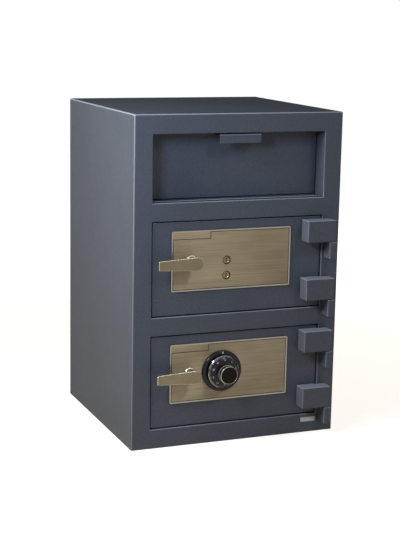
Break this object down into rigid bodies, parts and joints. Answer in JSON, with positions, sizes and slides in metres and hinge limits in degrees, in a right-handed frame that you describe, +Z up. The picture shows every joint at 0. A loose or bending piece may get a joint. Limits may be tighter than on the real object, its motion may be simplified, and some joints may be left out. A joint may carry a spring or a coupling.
{
  "type": "drop safe with tilting deposit hopper",
  "caption": "Floor-standing steel drop safe: a recessed tilting deposit hopper above a key-locked door and a combination-locked door, with levers and outside hinge blocks.",
  "frame": {"origin": "centre of the body footprint on the floor, midway between the sides and midway between the front frame's face and the back plate", "axes": "+Z up, -Y the front with doors and dial, +X to the right of someone facing the front"},
  "size_m": [0.508, 0.5341, 0.762],
  "materials": {
    "body_paint": "satin blue-grey paint",
    "face_plate": "brushed along its length, warm nickel tone",
    "nickel": "polished nickel",
    "steel": "bright mild steel",
    "zinc": "zinc plated",
    "brass": "machined",
    "dial_black": "gloss black",
    "nylon": "natural"
  },
  "bodies": {
    "safe_body": {"left_side_plate": "body_paint", "right_side_plate": "body_paint", "top_plate": "body_paint", "bottom_plate": "body_paint", "back_plate": "body_paint", "divider_shelf": "body_paint", "front_frame": "body_paint", "hopper_housing_left_wall": "body_paint", "hopper_housing_right_wall": "body_paint", "left_pivot_bush": "nylon", "right_pivot_bush": "nylon", "hopper_sill": "body_paint", "hopper_header": "body_paint", "anti_fishing_baffle": "body_paint", "hopper_stop_bar": "steel", "upper_door_top_knuckle": "body_paint", "upper_door_top_hinge_pin": "steel", "upper_door_bottom_knuckle": "body_paint", "upper_door_bottom_hinge_pin": "steel", "lower_door_top_knuckle": "body_paint", "lower_door_top_hinge_pin": "steel", "lower_door_bottom_knuckle": "body_paint", "lower_door_bottom_hinge_pin": "steel"},
    "hopper": {"hopper_panel": "body_paint", "pull_lip": "body_paint", "hopper_left_cheek": "body_paint", "hopper_right_cheek": "body_paint", "deposit_tray": "body_paint", "left_pivot_pin": "steel", "right_pivot_pin": "steel"},
    "upper_door": {"upper_door_plate": "body_paint", "upper_face_plate": "face_plate", "upper_door_top_hinge_block": "body_paint", "upper_door_bottom_hinge_block": "body_paint", "upper_dead_bar": "steel", "upper_bolt_guide": "steel", "upper_bolt_cover": "zinc", "upper_lock_case": "zinc"},
    "upper_handle": {"upper_handle": "nickel", "upper_handle_spindle": "steel"},
    "upper_bolts": {"upper_bolt_carriage": "steel"},
    "upper_lock": {"upper_lock_bolt": "brass"},
    "guard_key": {"guard_key_plug": "brass"},
    "customer_key": {"customer_key_plug": "brass"},
    "lower_door": {"lower_door_plate": "body_paint", "lower_face_plate": "face_plate", "lower_door_top_hinge_block": "body_paint", "lower_door_bottom_hinge_block": "body_paint", "lower_dead_bar": "steel", "lower_bolt_guide": "steel", "lower_bolt_cover": "zinc", "lower_lock_case": "zinc", "dial_ring": "dial_black"},
    "lower_handle": {"lower_handle": "nickel", "lower_handle_spindle": "steel"},
    "lower_bolts": {"lower_bolt_carriage": "steel"},
    "lower_lock": {"lower_lock_bolt": "brass"},
    "dial": {"combination_dial": "dial_black", "dial_spindle": "steel"}
  },
  "joints": [
    {"name": "hopper_tilt", "type": "hinge", "parent": "safe_body", "child": "hopper", "pos_m": [0, -0.19, 0.577], "axis": [1, 0, 0], "range_deg": [0, 50]},
    {"name": "upper_door_swing", "type": "hinge", "parent": "safe_body", "child": "upper_door", "pos_m": [0.2225, -0.26, 0.41475], "axis": [0, 0, 1], "range_deg": [0, 115]},
    {"name": "lower_door_swing", "type": "hinge", "parent": "safe_body", "child": "lower_door", "pos_m": [0.2225, -0.26, 0.15425], "axis": [0, 0, 1], "range_deg": [0, 115]},
    {"name": "upper_handle_turn", "type": "hinge", "parent": "upper_door", "child": "upper_handle", "pos_m": [-0.116, -0.27, 0.43175], "axis": [0, 1, 0], "range_deg": [0, 70]},
    {"name": "upper_bolt_throw", "type": "slide", "parent": "upper_door", "child": "upper_bolts", "axis": [-1, 0, 0], "range_m": [0, 0.024]},
    {"name": "guard_key_turn", "type": "hinge", "parent": "upper_door", "child": "guard_key", "pos_m": [-0.0295, -0.241, 0.4296], "axis": [0, 1, 0], "range_deg": [0, 90]},
    {"name": "customer_key_turn", "type": "hinge", "parent": "upper_door", "child": "customer_key", "pos_m": [-0.0295, -0.241, 0.3944], "axis": [0, 1, 0], "range_deg": [0, 90]},
    {"name": "upper_lock_throw", "type": "slide", "parent": "upper_door", "child": "upper_lock", "axis": [0, 0, 1], "range_m": [0, 0.009]},
    {"name": "lower_handle_turn", "type": "hinge", "parent": "lower_door", "child": "lower_handle", "pos_m": [-0.116, -0.27, 0.17125], "axis": [0, 1, 0], "range_deg": [0, 70]},
    {"name": "lower_bolt_throw", "type": "slide", "parent": "lower_door", "child": "lower_bolts", "axis": [-1, 0, 0], "range_m": [0, 0.024]},
    {"name": "lower_lock_throw", "type": "slide", "parent": "lower_door", "child": "lower_lock", "axis": [0, 0, 1], "range_m": [0, 0.009]},
    {"name": "dial_spin", "type": "hinge", "parent": "lower_door", "child": "dial", "pos_m": [-0.0365, -0.27, 0.17125], "axis": [0, 1, 0], "continuous": true}
  ],
  "couplings": [
    {"joint": "upper_bolt_throw", "follows": "upper_handle_turn", "m_per_rad": 0.019643},
    {"joint": "lower_bolt_throw", "follows": "lower_handle_turn", "m_per_rad": 0.019643},
    {"joint": "upper_lock_throw", "follows": "customer_key_turn", "m_per_rad": 0.005729}
  ]
}
